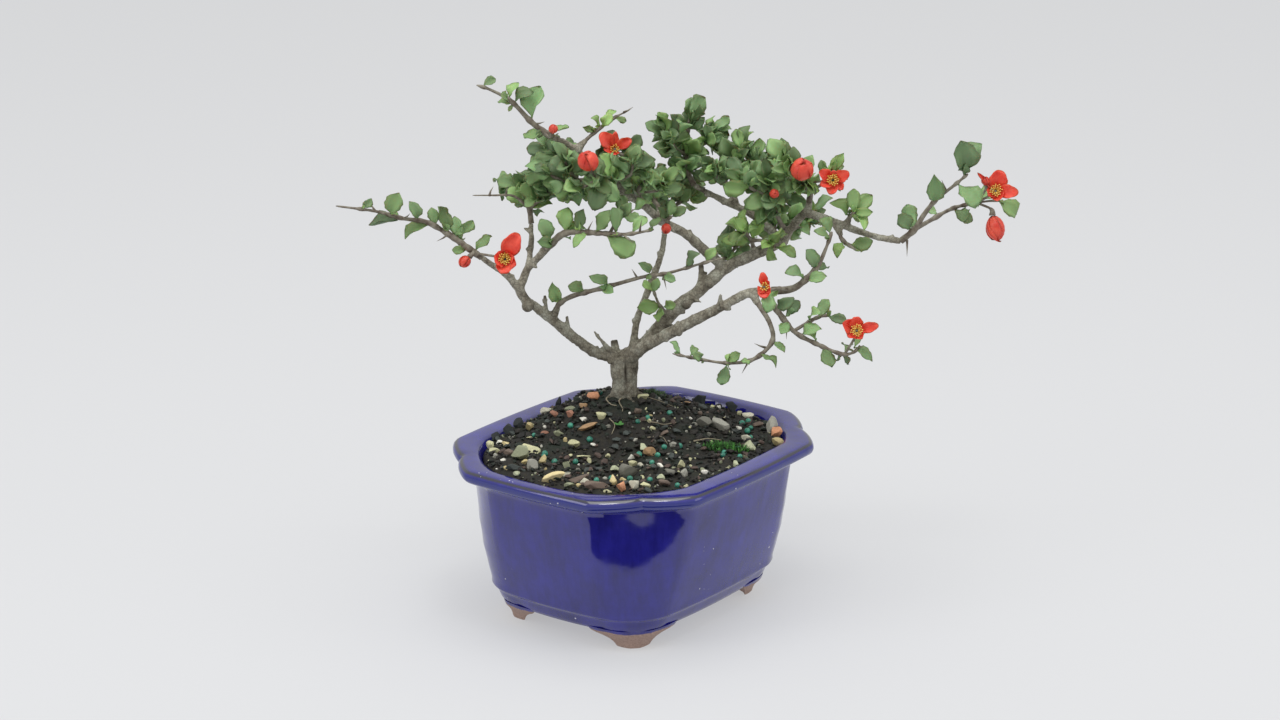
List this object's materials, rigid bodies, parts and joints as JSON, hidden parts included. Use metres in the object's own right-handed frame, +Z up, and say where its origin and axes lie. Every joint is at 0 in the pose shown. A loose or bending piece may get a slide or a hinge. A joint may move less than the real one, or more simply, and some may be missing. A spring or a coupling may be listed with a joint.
{
  "type": "flowering quince bonsai",
  "caption": "Flowering quince trained as a spreading bonsai, with leafy shoots, vermilion blooms and buds, in a cobalt-blue glazed pot with cut corners and four feet.",
  "frame": {"origin": "on the surface the pot stands on, under the middle of the whole object's box", "axes": "+Z up; +X along the pot's long side; the tree's broad face looks about halfway between -X and -Y"},
  "size_m": [0.2848, 0.3048, 0.3217],
  "materials": {
    "cobalt_glaze": "glossy cobalt glaze, bare clay feet",
    "plastic_mesh": "moulded mesh",
    "potting_mix": "coarse bark potting mix with pebbles, matte",
    "quince_bark": "matte bark",
    "quince_leaf": "satin living leaf",
    "quince_petal": "soft petal",
    "quince_stamen": "soft thread"
  },
  "bodies": {
    "root": {"pot": "cobalt_glaze", "drain_screen_left": "plastic_mesh", "drain_screen_right": "plastic_mesh", "soil": "potting_mix", "wood": "quince_bark", "spray_left_long": "quince_leaf", "spray_left_inner": "quince_leaf", "spray_left_rise": "quince_leaf", "spray_thin_cross": "quince_leaf", "spray_upright": "quince_leaf", "spray_upper_left": "quince_leaf", "spray_upper_twig": "quince_leaf", "spray_middle_left": "quince_leaf", "spray_middle_front": "quince_leaf", "spray_middle_top": "quince_leaf", "spray_middle_back": "quince_leaf", "spray_centre": "quince_leaf", "spray_centre_front": "quince_leaf", "spray_centre_back": "quince_leaf", "spray_crown_top": "quince_leaf", "spray_crown_right": "quince_leaf", "spray_crown_back": "quince_leaf", "spray_right_rise": "quince_leaf", "spray_right_end": "quince_leaf", "spray_shoulder": "quince_leaf", "spray_under_shoot": "quince_leaf", "spray_right_tip": "quince_leaf", "spray_bright": "quince_leaf", "spray_sucker": "quince_leaf", "spray_lower_rise": "quince_leaf", "spray_lower_right": "quince_leaf", "spray_return": "quince_leaf", "spray_back_right": "quince_leaf", "spray_back_left": "quince_leaf", "bloom_left": "quince_petal", "bloom_middle": "quince_petal", "bloom_right": "quince_petal", "bloom_tip": "quince_petal", "bloom_inner": "quince_petal", "bloom_lower": "quince_petal", "cup_middle": "quince_petal", "cup_crown": "quince_petal", "cup_hanging": "quince_petal", "bud_left": "quince_petal", "bud_centre": "quince_petal", "bud_crown": "quince_petal", "bud_tip": "quince_petal", "buds_upper": "quince_petal", "stamens_left": "quince_stamen", "stamens_right": "quince_stamen", "stamens_tip": "quince_stamen", "stamens_lower": "quince_stamen"}
  },
  "joints": []
}
